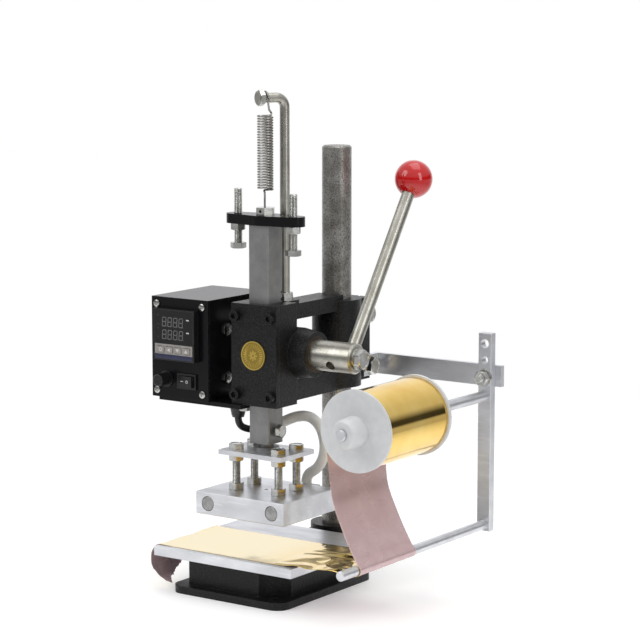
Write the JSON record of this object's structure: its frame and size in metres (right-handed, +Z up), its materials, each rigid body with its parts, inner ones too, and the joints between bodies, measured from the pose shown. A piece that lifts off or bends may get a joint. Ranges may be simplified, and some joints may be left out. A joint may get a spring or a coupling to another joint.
{
  "type": "hot foil stamper",
  "caption": "Hand-lever hot foil stamping press with rack ram, heated plate, work table, foil roll feed and temperature control box.",
  "frame": {"origin": "on the ram's axis, at the underside of the base", "axes": "+X to the lever and foil side, +Y to the column at the back, +Z up the ram"},
  "size_m": [0.2905, 0.2568, 0.4615],
  "materials": {
    "cast_iron_black": "grainy black enamel on cast iron",
    "sheet_black": "satin black powder coat",
    "ground_steel": "ground bar, speckled",
    "ram_steel": "brushed grey steel",
    "zinc": "bright zinc plate",
    "black_oxide": "black oxide",
    "spring_steel": "bright spring wire",
    "milled_aluminium": "satin milled",
    "heater_steel": "satin stainless",
    "red_ball": "glossy moulded phenolic",
    "black_plastic": "fine matte",
    "key_grey": "printed membrane",
    "window_smoke": "smoked window",
    "emblem_brass": "stamped brass",
    "bush_bronze": "sintered bronze",
    "nylon_white": "translucent white nylon",
    "gold_foil": "metallised gold film, mauve back",
    "card_core": "wound card tube",
    "silicone_sleeve": "whitish silicone",
    "relay_grey": "moulded case"
  },
  "bodies": {
    "base": {"base_casting": "cast_iron_black", "column": "ground_steel", "work_table": "milled_aluminium", "table_screws": "zinc", "foil_on_table": "gold_foil"},
    "head": {"head_casting": "cast_iron_black", "front_cover": "cast_iron_black", "cover_screws": "black_oxide", "emblem_disc": "emblem_brass", "pinion_bushes": "bush_bronze", "clamp_bolts": "zinc", "clamp_nuts_and_washers": "zinc", "spring_rod": "zinc", "spring_rod_nuts": "zinc", "return_spring": "spring_steel", "box_bracket": "sheet_black", "box_screws": "zinc", "control_box": "sheet_black", "box_front_panel": "sheet_black", "panel_screws": "zinc", "temperature_controller": "black_plastic", "display_window": "window_smoke", "rocker_frame": "black_plastic", "fuse_holder": "black_plastic", "solid_state_relay": "relay_grey", "power_inlet": "black_plastic", "cable_gland": "black_plastic", "wire_sleeve": "silicone_sleeve", "foil_arm": "milled_aluminium", "foil_upright": "milled_aluminium", "upright_bolt_set": "zinc", "foil_spindle": "milled_aluminium", "guide_rod": "milled_aluminium", "foil_feed": "gold_foil"},
    "ram": {"ram_rack": "ram_steel", "cross_plate": "sheet_black", "stop_bolts": "zinc", "lock_nuts": "zinc", "spring_eye_screw": "zinc", "ram_clamp_screw": "zinc", "holder_shank": "ram_steel", "adjusting_plate": "milled_aluminium", "levelling_bolts": "zinc", "heat_block": "milled_aluminium", "heater_cartridges": "heater_steel", "terminal_cover": "heater_steel"},
    "lever": {"pinion_shaft": "ground_steel", "lever_rod": "zinc", "ball_knob": "red_ball", "lever_lock_bolt": "zinc"},
    "foil_roll": {"roll_flanges": "nylon_white", "roll_core": "card_core", "foil_winding": "gold_foil", "hub_set_screw": "zinc"},
    "rocker": {"rocker_button": "black_plastic"},
    "fuse_cap_body": {"fuse_cap": "black_plastic"},
    "key_set_body": {"key_set": "key_grey"},
    "key_shift_body": {"key_shift": "key_grey"},
    "key_down_body": {"key_down": "key_grey"},
    "key_up_body": {"key_up": "key_grey"}
  },
  "joints": [
    {"name": "head_height", "type": "slide", "parent": "base", "child": "head", "axis": [0, 0, 1], "range_m": [0, 0.08]},
    {"name": "ram_stroke", "type": "slide", "parent": "head", "child": "ram", "axis": [0, 0, -1], "range_m": [0, 0.029], "stiffness_N_per_m": 800, "springref_m": -0.05, "deforming": ["return_spring", "wire_sleeve"]},
    {"name": "lever_turn", "type": "hinge", "parent": "head", "child": "lever", "pos_m": [0.078, 0.02185, 0.2205], "axis": [1, 0, 0], "range_deg": [0, 138.6]},
    {"name": "foil_roll_spin", "type": "hinge", "parent": "head", "child": "foil_roll", "pos_m": [0.142, 0, 0.1735], "axis": [0, 1, 0], "continuous": true},
    {"name": "power_rocker", "type": "hinge", "parent": "head", "child": "rocker", "pos_m": [-0.0704, -0.027, 0.1915], "axis": [0, 0, 1], "range_deg": [0, 16]},
    {"name": "fuse_cap_turn", "type": "hinge", "parent": "head", "child": "fuse_cap_body", "pos_m": [-0.0949, -0.03, 0.192], "axis": [0, 1, 0], "range_deg": [0, 90]},
    {"name": "key_set_press", "type": "slide", "parent": "head", "child": "key_set_body", "axis": [0, 1, 0], "range_m": [0, 0.0005], "stiffness_N_per_m": 400, "springref_m": -0.0005},
    {"name": "key_shift_press", "type": "slide", "parent": "head", "child": "key_shift_body", "axis": [0, 1, 0], "range_m": [0, 0.0005], "stiffness_N_per_m": 400, "springref_m": -0.0005},
    {"name": "key_down_press", "type": "slide", "parent": "head", "child": "key_down_body", "axis": [0, 1, 0], "range_m": [0, 0.0005], "stiffness_N_per_m": 400, "springref_m": -0.0005},
    {"name": "key_up_press", "type": "slide", "parent": "head", "child": "key_up_body", "axis": [0, 1, 0], "range_m": [0, 0.0005], "stiffness_N_per_m": 400, "springref_m": -0.0005}
  ],
  "couplings": [
    {"joint": "lever_turn", "follows": "ram_stroke", "rad_per_m": 83.333}
  ]
}
